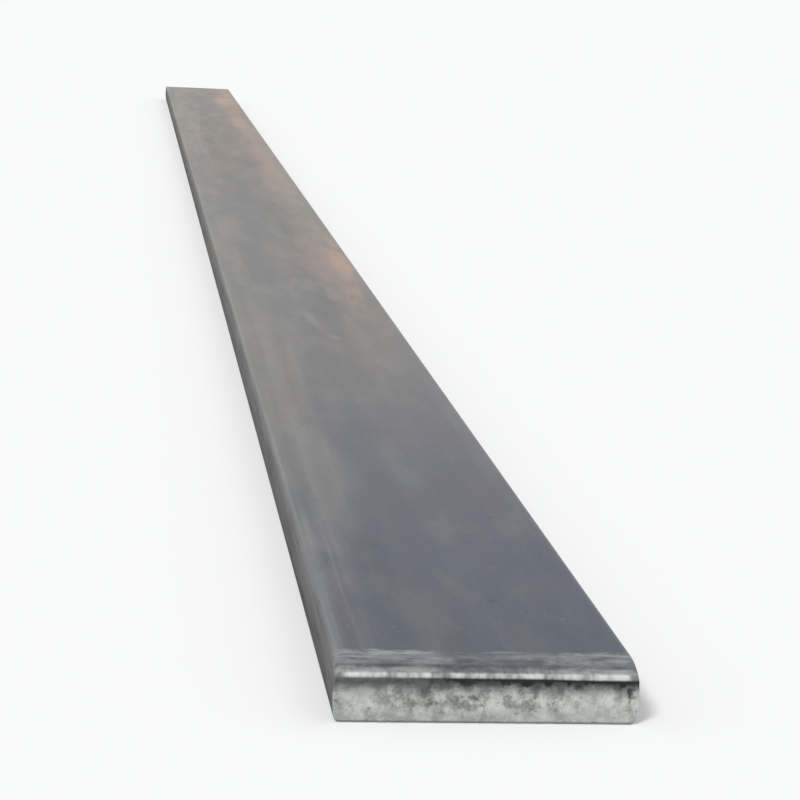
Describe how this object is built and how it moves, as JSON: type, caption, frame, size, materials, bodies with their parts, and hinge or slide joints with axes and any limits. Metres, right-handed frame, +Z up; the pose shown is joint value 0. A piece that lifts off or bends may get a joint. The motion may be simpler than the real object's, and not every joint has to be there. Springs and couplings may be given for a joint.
{
  "type": "metal flat bar",
  "caption": "Hot-rolled steel flat bar with rounded long corners, slightly crowned narrow sides and sheared ends, used as stock for frames, brackets and plates.",
  "frame": {"origin": "middle of the underside, which rests on the floor", "axes": "+Y along the length, away from the end that is cut from the top down; +X across the width; +Z up through the thickness"},
  "size_m": [0.1, 3, 0.02],
  "materials": {
    "mill_scale_steel": "blue-grey rolling scale, satin on the faces, torn and matt on the cut ends"
  },
  "bodies": {
    "root": {"flat_bar": "mill_scale_steel"}
  },
  "joints": []
}
